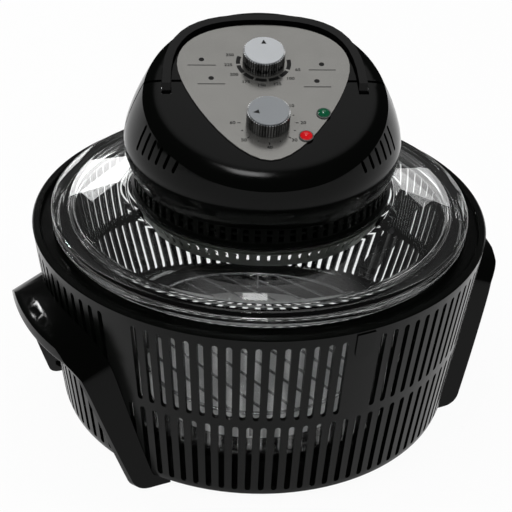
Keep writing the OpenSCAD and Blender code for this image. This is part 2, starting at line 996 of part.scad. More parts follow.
module front_housing() {
    color("#202022")
        difference() {
            union() {
                half_dome(-1);
                intersection() {
                    difference() {
                        pivot_blocks();
                        handle_channel();
                    }
                    seam_side(-1, 0);
                }
                columns([225, 315]);
            }
            column_bores([225, 315]);
            for (s = [0, 1])
                mirror([s, 0, 0]) {
                    side_vents();
                    on_face(bail_w - 1, pivot_t, pivot_h)
                        rotate([0, 90, 0])
                            cylinder(d = pivot_d + 2 * run_gap, h = pin_len + 2);
                }
            on_face(0, timer_t, -deck_t - cut)
                cylinder(d = spindle_d + 2 * run_gap, h = deck_t + 2 * cut);
            control_holes(timer_t, -deck_t - cut, screw_hole_d, deck_t + 2 * cut);
            lamp_holes(-deck_t - cut, deck_t + 2 * cut);
        }
}

module rear_housing() {
    color("#202022")
        difference() {
            union() {
                half_dome(1);
                columns([45, 135]);
            }
            column_bores([45, 135]);
            on_face(0, temp_t, -deck_t - cut)
                cylinder(d = spindle_d + 2 * run_gap, h = deck_t + 2 * cut);
            on_face(0, plunger_t, -deck_t - cut)
                cylinder(d = plunger_d + 2 * run_gap, h = deck_t);
            control_holes(temp_t, -deck_t - cut, screw_hole_d, deck_t + 2 * cut);
            translate([0, rear_y + 5, inlet_z])
                rotate([90, 0, 0])
                    cylinder(d = inlet_d, h = 20);
        }
}

module base_screws() {
    color("#8f8f92")
        translate([0, 0, skirt_z]) {
            around(base_screw_r, base_screw_az)
                screw(screw_d, screw_head_d, screw_head_h, skirt_floor_t + 9);
            around(bracket_leg_r, guard_screw_az)
                screw(screw_d, screw_head_d, screw_head_h, skirt_floor_t + 7);
        }
}

// ---------- control face ----------

// Two screws each side of a dial's spindle
module control_spots(t) {
    for (a = [45, 225])
        on_face(control_screw_r * cos(a), t + control_screw_r * sin(a), 0)
            children();
}

module control_holes(t, h, d, l) {
    control_spots(t)
        translate([0, 0, h])
            cylinder(d = d, h = l);
}

module lamp_holes(h, l) {
    for (p = lamp_at)
        on_face(p[0], p[1], h)
            cylinder(d = lamp_d - 2.8, h = l);
}

module faceplate() {
    color("#a9a8a3")
        difference() {
            on_face()
                linear_extrude(plate_t)
                    polygon(concat(plate_half, mirrored(plate_half)));
            for (t = [temp_t, timer_t]) {
                on_face(0, t, -cut)
                    cylinder(d = spindle_d + 2 * run_gap, h = plate_t + 2 * cut);
                control_holes(t, -cut, control_head_d + 0.3, plate_t + 2 * cut);
            }
            lamp_holes(-cut, plate_t + 2 * cut);
        }
}

// A domed lens on its stem, with its head on the plate
module lens() {
    r = lamp_d / 2 - 0.9;
    rotate_extrude()
        polygon(concat(
            [[0, -deck_t], [lamp_d / 2 - 1.5, -deck_t], [lamp_d / 2 - 1.5, plate_t], [r, plate_t]],
            [for (a = [0:18:72]) [r * cos(a), plate_t + 1 + 2 * sin(a)]],
            [[0, plate_t + 3]]));
}

module green_lens() {
    color("#1f8a4c")
        on_face(lamp_at[0][0], lamp_at[0][1])
            lens();
}

module red_lens() {
    color("#b3261e")
        on_face(lamp_at[1][0], lamp_at[1][1])
            lens();
}

module lamp_bezels() {
    color("#5c5c5c")
        for (p = lamp_at)
            on_face(p[0], p[1], plate_t)
                washer(lamp_d / 2, lamp_d / 2 - 0.8, 1);
}

module lamp_bodies() {
    color("#d9d4c4")
        for (p = lamp_at)
            on_face(p[0], p[1], -deck_t - 12)
                cylinder(d = lamp_d - 1, h = 12);
}

// A round control under the deck with a bore for its spindle
module control_body(t, r, depth) {
    difference() {
        on_face(0, t, -deck_t - depth)
            union() {
                cylinder(r = r, h = depth);
                translate([-r * 0.4, -r * 0.4, -3])
                    cube([0.8 * r, 0.8 * r, 4]);
            }
        on_face(0, t, -deck_t - spindle_seat - 0.5)
            cylinder(d = spindle_d + 2 * run_gap, h = spindle_seat + 1);
        control_holes(t, -deck_t - 6, control_screw_d, 7);
    }
}

module thermostat() {
    color("#c9c2ae")
        control_body(temp_t, temp_r, control_depth);
}

module timer() {
    color("#b9b9b6")
        control_body(timer_t, timer_r, timer_depth);
}

module control_screws() {
    color("#8f8f92")
        for (t = [temp_t, timer_t])
            control_spots(t)
                rotate([180, 0, 0])
                    screw(control_screw_d, control_head_d, plate_t, deck_t + 5.5);
}

// ---------- drive and wiring parts ----------

module motor() {
    color("#8c8f93")
        difference() {
            translate([0, 0, motor_z])
                union() {
                    cylinder(d = motor_d, h = motor_h);
                    cylinder(d = motor_d / 3, h = motor_h + 3);
                    translate([-motor_d / 4, motor_d / 2 - 6, 4])
                        cube([motor_d / 2, 14, motor_h - 8]);
                }
            translate([0, 0, motor_z - cut])
                cylinder(d = shaft_d + 2 * run_gap, h = shaft_top - motor_z + 2 * cut);
        }
}

module motor_bracket() {
    color("#a3a6a8")
        difference() {
            union() {
                translate([0, 0, motor_z - bracket_t])
                    cylinder(d = motor_d + 6, h = bracket_t);
                around(bracket_leg_r, guard_screw_az) {
                    translate([-bracket_leg_r + 10, -5, motor_z - bracket_t])
                        cube([bracket_leg_r - 6, 10, bracket_t]);
                    translate([-4, -5, skirt_top])
                        cube([8, 10, motor_z - skirt_top]);
                }
            }
            translate([0, 0, motor_z - bracket_t - cut])
                cylinder(r = shaft_hole_r, h = bracket_t + 2 * cut);
            translate([0, 0, skirt_top - cut])
                around(bracket_leg_r, guard_screw_az)
                    cylinder(d = screw_d, h = 9);
        }
}

module terminal_block() {
    color("#d8d3c2")
        translate([-15, 68, skirt_top])
            difference() {
                cube([30, 12, 12]);
                for (i = [0:2])
                    translate([5 + 10 * i, 6, 8])
                        cylinder(d = 4, h = 5);
            }
}

module thermal_cutout() {
    color("#b8b8b8")
        translate([-72, 0, skirt_top]) {
            cylinder(d = 18, h = 4);
            cylinder(d = 12, h = 7);
        }
}

module cord_inlet() {
    color("#131314")
        translate([0, rear_y, inlet_z])
            rotate([90, 0, 0]) {
                translate([0, 0, -6])
                    washer(inlet_d / 2 + 3, inlet_d / 4, 6);
                washer(inlet_d / 2 - 0.2, inlet_d / 4, 14);
            }
}

module safety_switch() {
    color("#23415f")
        difference() {
            on_face(-10, plunger_t - 5, -deck_t - 12)
                cube([20, 8, 12]);
            on_face(0, plunger_t, -deck_t - 8)
                cylinder(d = plunger_d + 2 * run_gap, h = 9);
        }
}

// ---------- guard and heater ----------

module guard_profile() {
    polygon([
        [guard_flange_r, guard_sheet_z],
        [guard_flange_r, reflector_z],
        [guard_r(reflector_z), reflector_z],
        [guard_low_r, guard_low_z],
        [guard_lip_r, guard_low_z],
        [guard_lip_r, guard_low_z + sheet_t],
        [guard_low_r - sheet_t, guard_low_z + sheet_t],
        [guard_r(guard_sheet_z) - sheet_t, guard_sheet_z]
    ]);
}

module guard_ring() {
    color("#a7aaa6")
        difference() {
            rotate_extrude()
                guard_profile();
            for (i = [0:guard_slots - 1])
                radial(i * 360 / guard_slots, guard_low_r - 4,
                       guard_slot_top - guard_slot_h / 2)
                    linear_extrude(20)
                        square([guard_slot_w, guard_slot_h], center = true);
            translate([0, 0, guard_sheet_z - cut])
                around(guard_screw_r, guard_screw_az)
                    cylinder(d = screw_d + 0.4, h = 3 * cut);
        }
}

module fan_guard() {
    color("#b9bcbe")
        translate([0, 0, guard_wire_z]) {
            for (r = guard_rings)
                rotate_extrude()
                    translate([r, 0])
                        circle(d = guard_wire_d, $fn = 16);
            for (i = [0:guard_spokes - 1])
                rotate([0, 0, i * 360 / guard_spokes])
                    translate([guard_rings[0], 0, 0])
                        rotate([0, 90, 0])
                            cylinder(d = spoke_d,
                                     h = guard_rings[3] - guard_rings[0], $fn = 16);
        }
}

module reflector() {
    color("#c4c6c4")
        difference() {
            translate([0, 0, reflector_z])
                washer(reflector_r, shaft_hole_r, sheet_t);
            translate([0, 0, reflector_z - cut]) {
                around(guard_screw_r, guard_screw_az)
                    cylinder(d = screw_d + 0.4, h = 3 * cut);
                around(tube_ring_r, end_az)
                    cylinder(d = end_w + 0.6, h = 3 * cut);
            }
        }
}

module guard_screws() {
    color("#9a9a9c")
        translate([0, 0, guard_sheet_z])
            around(guard_screw_r, guard_screw_az)
                screw(screw_d, screw_head_d, screw_head_h, 8);
}

// The tube's path with a given thickness
module tube_path(d, from, sweep) {
    translate([0, 0, tube_z])
        rotate([0, 0, from])
            rotate_extrude(angle = sweep)
                translate([tube_ring_r, 0])
                    circle(d = d, $fn = 32);
}

module heater_tube() {
    color("#e8e2d2")
        tube_path(tube_d, tube_from, tube_sweep);
}

module heater_ends() {
    color("#e6dfcf")
        difference() {
            translate([0, 0, tube_z - tube_d / 2 - 1])
                around(tube_ring_r, end_az)
                    cylinder(d = end_w, h = skirt_z - tube_z + tube_d / 2 + 1);
            tube_path(tube_d, tube_from, tube_sweep);
        }
}

module heater_clips() {
    color("#9c9fa1")
        difference() {
            translate([0, 0, tube_z - tube_d / 2 - 1])
                around(tube_ring_r, clip_az)
                    translate([-tube_d / 2 - 1, -2, 0])
                        cube([tube_d + 2, 4, reflector_z - tube_z + tube_d / 2 + 1]);
            tube_path(tube_d, clip_az[0] - 20, 160);
        }
}

// ---------- fan shaft ----------

module fan_shaft() {
    color("#c7c9cb")
        translate([0, 0, shaft_low])
            cylinder(d = shaft_d, h = shaft_top - shaft_low);
}

// A hub with flat blades turned out of the plane of the wheel
module fan_wheel(r, h, hub, blades, tilt) {
    difference() {
        union() {
            cylinder(r = hub, h = h);
            for (i = [0:blades - 1])
                rotate([0, 0, i * 360 / blades])
                    translate([hub - 2, 0, h / 2])
                        rotate([tilt, 0, 0])
                            translate([0, -0.6, -h / 2])
                                cube([r - hub + 1, 1.2, h]);
        }
        translate([0, 0, -cut])
            cylinder(d = shaft_d, h = h + 2 * cut);
    }
}

module cooling_fan() {
    color("#c9cbcd")
        translate([0, 0, skirt_top + 4])
            fan_wheel(cool_fan_r, 9, 10, 8, 38);
}

module hot_air_fan() {
    color("#bfc2c3")
        translate([0, 0, hot_fan_z])
            fan_wheel(hot_fan_r, 6.5, 8, 8, 30);
}

module fan_nut() {
    color("#9a9a9c")
        translate([0, 0, shaft_low + 0.3])
            difference() {
                cylinder(d = 2 * shaft_d, h = nut_h, $fn = 6);
                translate([0, 0, -cut])
                    cylinder(d = shaft_d, h = nut_h + 2 * cut);
            }
}

// ---------- dials ----------

module dial() {
    difference() {
        linear_extrude(dial_h - dial_cap_t)
            polygon([for (i = [0:2 * dial_flutes - 1]) let (a = i * 180 / dial_flutes)
                (dial_r - 0.5 * (i % 2)) * [cos(a), sin(a)]]);
        translate([0, 0, -cut])
            cylinder(d = spindle_d, h = dial_h);
    }
}

// The flat top of a dial, with a sunk triangle that points up the face
module dial_cap() {
    difference() {
        cylinder(r = dial_r - 1.2, h = dial_cap_t);
        translate([0, dial_r - 7, dial_cap_t / 2])
            linear_extrude(dial_cap_t)
                polygon([[-2.2, -2], [2.2, -2], [0, 3]]);
    }
}

module spindle(t) {
    on_face(0, t, -deck_t - spindle_seat)
        cylinder(d = spindle_d,
                 h = deck_t + spindle_seat + plate_t + dial_gap + dial_h - dial_cap_t);
}

module temperature_dial() {
    color("#8e9093")
        on_face(0, temp_t, plate_t + dial_gap)
            dial();
}

module temperature_cap() {
    color("#dcdddd")
        on_face(0, temp_t, plate_t + dial_gap + dial_h - dial_cap_t)
            dial_cap();
}

module temperature_spindle() {
    color("#b4b6b8")
        spindle(temp_t);
}

module timer_dial() {
    color("#8e9093")
        on_face(0, timer_t, plate_t + dial_gap)
            dial();
}

module timer_cap() {
    color("#dcdddd")
        on_face(0, timer_t, plate_t + dial_gap + dial_h - dial_cap_t)
            rotate([0, 0, -timer_rest])
                dial_cap();
}

module timer_spindle() {
    color("#b4b6b8")
        spindle(timer_t);
}

// ---------- carrying handle ----------

module carrying_handle() {
    arm_x = bail_w - bail_arm / 2;
    color("#b3b2ae")
        difference() {
            union() {
                on_face(0, 0, -bail_in)
                    linear_extrude(bail_in + bail_out)
                        bail_outline(0, pivot_t);
                for (s = [-1, 1])
                    on_face(s * arm_x, pivot_t, pivot_h)
                        rotate([90, 0, 90])
                            linear_extrude(bail_arm, center = true)
                                polygon(concat(
                                    arc(0, 0, hub_r, 180, 360, 12),
                                    [[hub_r, bail_out - pivot_h], [0, bail_out - pivot_h]]));
            }
            on_face(0, pivot_t, pivot_h)
                rotate([0, 90, 0])
                    cylinder(d = pivot_d, h = 4 * bail_w, center = true);
        }
}

module handle_pins() {
    color("#8f8f92")
        for (s = [0, 1])
            mirror([s, 0, 0])
                on_face(bail_w - bail_arm, pivot_t, pivot_h)
                    rotate([0, 90, 0])
                        cylinder(d = pivot_d, h = bail_arm + pin_len);
}

module switch_plunger() {
    color("#d0d0d0")
        on_face(0, plunger_t, -deck_t - 7)
            cylinder(d = plunger_d, h = deck_t + 7 - bail_in - 0.1);
}

stand_basket();
handle_left();
handle_right();
handle_screws();
foot_pads();
glass_bowl();
wire_rack();
glass_lid();
upper_gasket();
lower_gasket();
vent_skirt();
front_housing();
rear_housing();
base_screws();
faceplate();
green_lens();
red_lens();
lamp_bezels();
lamp_bodies();
thermostat();
timer();
control_screws();
motor();
motor_bracket();
terminal_block();
thermal_cutout();
cord_inlet();
safety_switch();
guard_ring();
fan_guard();
reflector();
guard_screws();
heater_tube();
heater_ends();
heater_clips();
fan_shaft();
cooling_fan();
hot_air_fan();
fan_nut();
temperature_dial();
temperature_cap();
temperature_spindle();
timer_dial();
timer_cap();
timer_spindle();
carrying_handle();
handle_pins();
switch_plunger();
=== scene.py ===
"""Looks of a halogen oven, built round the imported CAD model.

The CAD model gives every rigid form and its place. This script gives each visible piece a
smooth skin and a finish, spins the pressed glass, prints the control face, sets the dials'
pointers, and sets up the camera and a plain studio.
"""

import json
import logging
import math
from dataclasses import dataclass, field
from enum import Enum
from typing import Callable, Optional, Sequence, Union

import bpy
from mathutils import Matrix, Vector


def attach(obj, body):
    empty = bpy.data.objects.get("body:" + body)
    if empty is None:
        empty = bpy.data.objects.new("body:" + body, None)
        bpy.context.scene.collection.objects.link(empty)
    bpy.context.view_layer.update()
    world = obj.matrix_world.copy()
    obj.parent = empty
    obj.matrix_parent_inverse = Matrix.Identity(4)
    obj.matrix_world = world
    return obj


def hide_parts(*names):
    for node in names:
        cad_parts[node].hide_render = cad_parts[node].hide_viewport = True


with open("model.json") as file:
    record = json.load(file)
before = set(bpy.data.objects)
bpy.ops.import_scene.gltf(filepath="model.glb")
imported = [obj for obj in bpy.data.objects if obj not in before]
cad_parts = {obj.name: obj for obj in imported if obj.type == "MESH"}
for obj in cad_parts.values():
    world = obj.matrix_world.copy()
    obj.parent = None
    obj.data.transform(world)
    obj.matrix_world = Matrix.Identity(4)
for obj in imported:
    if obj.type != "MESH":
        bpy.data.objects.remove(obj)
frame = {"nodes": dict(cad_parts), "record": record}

LOG = logging.getLogger("halogen_oven")
MM = 0.001
# The control face: its origin's height (mm), its slope (degrees), and how far up it
# (mm) the middles of the two dials lie.
FACE_Z = 288
FACE_TILT = 18
TEMPERATURE_T = 17
TIMER_T = -49
Point = tuple[float, float]
Number = Union[float, "Wire"]


# ---------------------------------------------------------------- shader maths


class Wire:
    """A socket that takes part in sums, each of which adds a Math node."""

    def __init__(self, kit: "NodeKit", socket: Optional[bpy.types.NodeSocket]) -> None:
        self.kit = kit
        self.socket = socket

    def __add__(self, other: Number) -> "Wire":
        """self + other."""
        return self.kit.maths("ADD", self, other)

    __radd__ = __add__

    def __sub__(self, other: Number) -> "Wire":
        """self - other."""
        return self.kit.maths("SUBTRACT", self, other)

    def __rsub__(self, other: Number) -> "Wire":
        """other - self."""
        return self.kit.maths("SUBTRACT", other, self)

    def __mul__(self, other: Number) -> "Wire":
        """self * other."""
        return self.kit.maths("MULTIPLY", self, other)

    __rmul__ = __mul__


class NodeKit:
    """A material's or a world's node tree, with one method for every node."""

    def __init__(self, tree: bpy.types.NodeTree) -> None:
        """Empties the tree."""
        self.tree = tree
        tree.nodes.clear()

    def node(
        self,
        kind: str,
        settings: Optional[dict] = None,
        inputs: Optional[dict] = None,
        output: Union[int, str] = 0,
    ) -> Wire:
        """Adds a node.

        Args:
            kind: The node's type.
            settings: Its properties, set first; "stops" fills a colour ramp.
            inputs: The value or link of each named or numbered socket.
            output: The socket that is returned.

        Returns:
            The chosen output, which is empty for a node that ends the tree.
        """
        made = self.tree.nodes.new(kind)
        for key, value in (settings or {}).items():
            if key == "stops":
                self._fill_ramp(made.color_ramp, value)
            else:
                setattr(made, key, value)
        for key, value in (inputs or {}).items():
            if isinstance(value, Wire):
                self.tree.links.new(value.socket, made.inputs[key])
            else:
                made.inputs[key].default_value = value
        return Wire(self, made.outputs[output] if len(made.outputs) else None)

    def maths(self, operation: str, first: Number, second: Number = 0.0) -> Wire:
        """The result of one sum or function."""
        return self.node("ShaderNodeMath", {"operation": operation}, {0: first, 1: second})

    def step(self, value: Wire, low: float, high: float) -> Wire:
        """A smooth rise from 0 to 1 while a value goes from low to high."""
        return self.node(
            "ShaderNodeMapRange",
            {"interpolation_type": "SMOOTHSTEP"},
            {"Value": value, "From Min": low, "From Max": high},
        )

    @staticmethod
    def _fill_ramp(ramp: bpy.types.ColorRamp, stops: Sequence[tuple]) -> None:
        """Writes a ramp's stops.

        Args:
            ramp: The ramp, which starts with two stops.
            stops: Each stop's place and grey level, in order.
        """
        while len(ramp.elements) < len(stops):
            ramp.elements.new(0.5)
        for element, (place, level) in zip(ramp.elements, stops):
            element.position = place
            element.color = grey(level)

    def place(self, stretch: Sequence[float] = (1, 1, 1)) -> Wire:
        """Object coordinates, stretched along the axes."""
        spot = self.node("ShaderNodeTexCoord", output="Object")
        return self.node("ShaderNodeMapping", None, {"Vector": spot, "Scale": stretch})

    def noise(
        self, scale: float, detail: float = 3, stretch: Sequence[float] = (1, 1, 1)
    ) -> Wire:
        """Noise over the surface, from 0 to 1."""
        return self.node(
            "ShaderNodeTexNoise",
            None,
            {"Vector": self.place(stretch), "Scale": scale, "Detail": detail},
            "Fac",
        )

    def ramp(self, value: Wire, stops: Sequence[tuple]) -> Wire:
        """A value turned into a grey level by stops."""
        return self.node("ShaderNodeValToRGB", {"stops": stops}, {"Fac": value})

    def blend(self, share: Number, first: object, second: object) -> Wire:
        """Two colours mixed by a share of the second."""
        return self.node(
            "ShaderNodeMix", {"data_type": "RGBA"}, {0: share, 6: first, 7: second}, 2
        )

    def bump(self, height: Wire, depth: float, strength: float = 1) -> Wire:
        """A normal from a height, where a height of 1 is depth metres."""
        return self.node(
            "ShaderNodeBump", None, {"Height": height, "Distance": depth, "Strength": strength}
        )


# ---------------------------------------------------------------- finishes


def tone(colour: Sequence[float], factor: float = 1) -> tuple:
    """A colour with alpha, made lighter or darker."""
    return tuple(min(1.0, c * factor) for c in colour) + (1.0,)


def grey(level: float) -> tuple:
    """A neutral colour with alpha."""
    return tone((level,) * 3)


@dataclass(frozen=True)
class Finish:
    """What every finish has: its colour, its sheen and how they vary."""

    name: str
    colour: tuple[float, float, float]
    roughness: float = 0.4
    metallic: float = 0.0
    specular: float = 0.5
    tone_drift: float = 0.15
    rough_drift: float = 0.06

    def material(self) -> bpy.types.Material:
        """Builds the finish.

        Returns:
            The material, with its shader linked to the output.
        """
        made = bpy.data.materials.new(self.name)
        made.use_nodes = True
        kit = NodeKit(made.node_tree)
        inputs = {
            "Metallic": self.metallic,
            "Specular IOR Level": self.specular,
            "Base Color": self.base(kit),
            "Roughness": self.sheen(kit),
        }
        normal = self.relief(kit)
        if normal is not None:
            inputs["Normal"] = normal
        inputs.update(self.extra(kit))
        shader = kit.node("ShaderNodeBsdfPrincipled", None, inputs)
        kit.node("ShaderNodeOutputMaterial", None, {"Surface": shader})
        made.diffuse_color = tone(self.colour)
        return made

    def drifted(self, kit: NodeKit, share: Wire) -> Wire:
        """The colour, from its darkest to its lightest by a share."""
        low, high = 1 - self.tone_drift, 1 + self.tone_drift
        return kit.blend(share, tone(self.colour, low), tone(self.colour, high))

    def base(self, kit: NodeKit) -> Wire:
        """The colour, which drifts a little over the surface."""
        return self.drifted(kit, kit.noise(22, 4))

    def sheen(self, kit: NodeKit) -> Wire:
        """The roughness, which drifts a little over the surface."""
        return kit.noise(55, 4) * (2 * self.rough_drift) + (self.roughness - self.rough_drift)

    def relief(self, kit: NodeKit) -> Optional[Wire]:
        """The surface's fine relief, if it has one."""
        return None

    def extra(self, kit: NodeKit) -> dict:
        """Sockets that only this finish sets."""
        return {}


@dataclass(frozen=True)
class Moulding(Finish):
    """Moulded plastic or rubber: a faint grain, and dull patches where it is handled."""

    grain: float = 1800
    depth: float = 0.00001

    def relief(self, kit: NodeKit) -> Wire:
        """A moulded skin's grain over a slight waviness."""
        waves = kit.noise(14, 1) * 6
        return kit.bump(kit.noise(self.grain, 2) + waves, self.depth)


@dataclass(frozen=True)
class Rolled(Finish):
    """Sheet metal with brush or roll lines along one direction."""

    lines: tuple[float, float, float] = (1, 60, 60)
    scale: float = 60
    depth: float = 0.000006

    def base(self, kit: NodeKit) -> Wire:
        """The colour with fine light and dark lines in it."""
        return self.drifted(kit, kit.noise(self.scale, 6, self.lines))

    def relief(self, kit: NodeKit) -> Wire:
        """The same lines as fine scratches."""
        return kit.bump(kit.noise(self.scale, 6, self.lines), self.depth)


@dataclass(frozen=True)
class Drawn(Finish):
    """Drawn wire and turned parts: bright, with small pits and dull spots."""

    depth: float = 0.00001

    def relief(self, kit: NodeKit) -> Wire:
        """Small pits."""
        return kit.bump(kit.noise(700, 3), self.depth)


@dataclass(frozen=True)
class Fluted(Drawn):
    """Chrome round a sloping dial, with painted shade in its grooves and painted highlights along
    its ridges.
    """

    middle: float = 0.0
    flutes: int = 48
    # Painted highlights: how many painted gleams run round the dial.
    gleams: int = 9
    # Painted shade: how dark the grooves are painted, as a share of the chrome's colour.
    groove: float = 0.02

    def base(self, kit: NodeKit) -> Wire:
        """The colour by the angle round the dial's own middle, with a painted gleam here and there.

        Args:
            kit: The material's nodes.

        Returns:
            The colour, with painted shade in each groove and painted light on each ridge.
        """
        x, y, z = (
            kit.node("ShaderNodeSeparateXYZ", None, {0: kit.place()}, axis) for axis in "XYZ"
        )
        slope = math.radians(FACE_TILT)
        up = y * math.cos(slope) + (z - FACE_Z * MM) * math.sin(slope) - self.middle * MM
        angle = kit.maths("ARCTAN2", up, x)
        # Painted light and shade: ridges painted light, grooves painted dark.
        painted_ridge_light = kit.maths("COSINE", angle * self.flutes)
        # Painted highlights: a slow wave round the dial that lightens some ridges.
        painted_gleam_sweep = kit.maths("COSINE", angle * self.gleams + 1.0)
        share = (painted_ridge_light * 0.5 + 0.5) * (painted_gleam_sweep * 0.3 + 0.7)
        return kit.blend(share, tone(self.colour, self.groove), tone(self.colour))


@dataclass(frozen=True)
class PressedGlass(Finish):
    """Clear glass with the soft waves of pressing."""

    ior: float = 1.46
    waves: float = 0.00004
    transmission: float = 1.0

    def base(self, kit: NodeKit) -> Wire:
        """Almost white, a trace greener where the noise is high."""
        drift = kit.noise(9, 2)
        return kit.blend(drift, tone(self.colour), tone(self.colour, 1 - self.tone_drift))

    def relief(self, kit: NodeKit) -> Wire:
        """Low waves over the whole surface."""
        return kit.bump(kit.noise(16, 2), self.waves)

    def extra(self, kit: NodeKit) -> dict:
        """Clear all through."""
        return {"Transmission Weight": self.transmission, "IOR": self.ior}


@dataclass(frozen=True)
class LampLens(Finish):
    """A coloured translucent lens with ribs inside it, and a painted glow."""

    # Painted light: the strength of the lens's glow, which no lamp gives.
    glow: float = 0.25

    def relief(self, kit: NodeKit) -> Wire:
        """Faint ribs under the dome."""
        rib = kit.node(
            "ShaderNodeTexVoronoi", None, {"Vector": kit.place(), "Scale": 900}, "Distance"
        )
        return kit.bump(rib, 0.00015, 0.6)

    def extra(self, kit: NodeKit) -> dict:
        """A painted glow of its own colour, deeper in the middle, though no lamp lights it."""
        return {
            "Emission Color": kit.blend(
                kit.noise(300, 2), tone(self.colour, 0.7), tone(self.colour)
            ),
            "Emission Strength": self.glow,
            "Coat Weight": 0.35,
            "Coat Roughness": 0.04,
        }


class Looks:
    """All finishes by name, each made into a material once."""

    BLACK = Moulding("black_gloss", (0.0008, 0.001, 0.0008), 0.11, specular=0.12, rough_drift=0.04)
    BASKET = Moulding("black_basket", (0.0015, 0.0018, 0.0015), 0.2, specular=0.12)
    SKIRT = Moulding("black_skirt", (0.0012, 0.0015, 0.0012), 0.25, specular=0.06)
    RUBBER = Moulding("black_rubber", (0.012, 0.012, 0.012), 0.75, grain=900, depth=0.00003)
    GASKET = Moulding("grey_silicone", (0.05, 0.05, 0.05), 0.6, grain=700, depth=0.00002)
    CREAM = Moulding("cream_plastic", (0.72, 0.68, 0.58), 0.5)
    CONTROL = Moulding("control_plastic", (0.55, 0.5, 0.4), 0.55)
    SWITCH = Moulding("blue_plastic", (0.03, 0.07, 0.16), 0.45)
    CERAMIC = Moulding("fired_ceramic", (0.78, 0.75, 0.68), 0.7, grain=1200, depth=0.00005)
    BEZEL = Moulding("grey_bezel", (0.09, 0.09, 0.09), 0.25)
    INK = Moulding("black_ink", (0.006, 0.006, 0.006), 0.45, specular=0.3)
    PLATE = Rolled(
        "silver_plate", (0.26, 0.256, 0.243), 0.22, metallic=0.8, tone_drift=0.05, scale=90
    )
    BAIL = Moulding("black_handle", (0.002, 0.002, 0.002), 0.16, specular=0.14, rough_drift=0.04)
    GUARD = Rolled(
        "guard_sheet", (0.36, 0.38, 0.35), 0.38, metallic=0.9, lines=(30, 30, 2), tone_drift=0.2
    )
    MOTOR = Rolled("motor_steel", (0.42, 0.43, 0.45), 0.4, metallic=1.0, lines=(20, 20, 1))
    FAN = Rolled("fan_sheet", (0.62, 0.63, 0.64), 0.35, metallic=1.0)
    # Both dial chromes carry painted groove shade and painted highlights.
    CHROME = Fluted(
        "dial_chrome", (0.95, 0.96, 0.97), 0.14, metallic=1.0, middle=TEMPERATURE_T
    )
    TIMER_CHROME = Fluted(
        "timer_chrome", (0.95, 0.96, 0.97), 0.14, metallic=1.0, middle=TIMER_T
    )
    DIAL_TOP = Rolled(
        "dial_disc", (0.55, 0.57, 0.59), 0.42, metallic=0.2, lines=(1, 1, 1), tone_drift=0.04
    )
    # The dial top's finish again, painted darker: painted shade, as the lower dial sees less light.
    TIMER_TOP = Rolled(
        "timer_disc_painted_shade", (0.27, 0.285, 0.3), 0.42, metallic=0.2, lines=(1, 1, 1), tone_drift=0.04
    )
    WIRE = Drawn("bright_wire", (0.6, 0.6, 0.61), 0.2, metallic=1.0)
    ZINC = Drawn("zinc_steel", (0.45, 0.45, 0.46), 0.38, metallic=1.0)
    SHAFT = Drawn("turned_steel", (0.55, 0.55, 0.56), 0.25, metallic=1.0)
    GLASS = PressedGlass("clear_glass", (0.985, 0.995, 0.992), 0.0, tone_drift=0.006, rough_drift=0)
    QUARTZ = PressedGlass(
        "frosted_quartz", (0.9, 0.85, 0.78), 0.3, tone_drift=0.05, transmission=0.5
    )
    # Both lenses carry a painted glow.
    GREEN = LampLens("green_lens", (0.0, 0.075, 0.03), 0.12, tone_drift=0.5, glow=0.12)
    RED = LampLens("red_lens", (0.6, 0.004, 0.008), 0.12, tone_drift=0.4, glow=0.2)

    _made: dict[str, bpy.types.Material] = {}

    @classmethod
    def get(cls, finish: Finish) -> bpy.types.Material:
        """The finish's material.

        Args:
            finish: The finish.

        Returns:
            Its one material, built the first time.
        """
        if finish.name not in cls._made:
            cls._made[finish.name] = finish.material()
        return cls._made[finish.name]


# ---------------------------------------------------------------- modelling


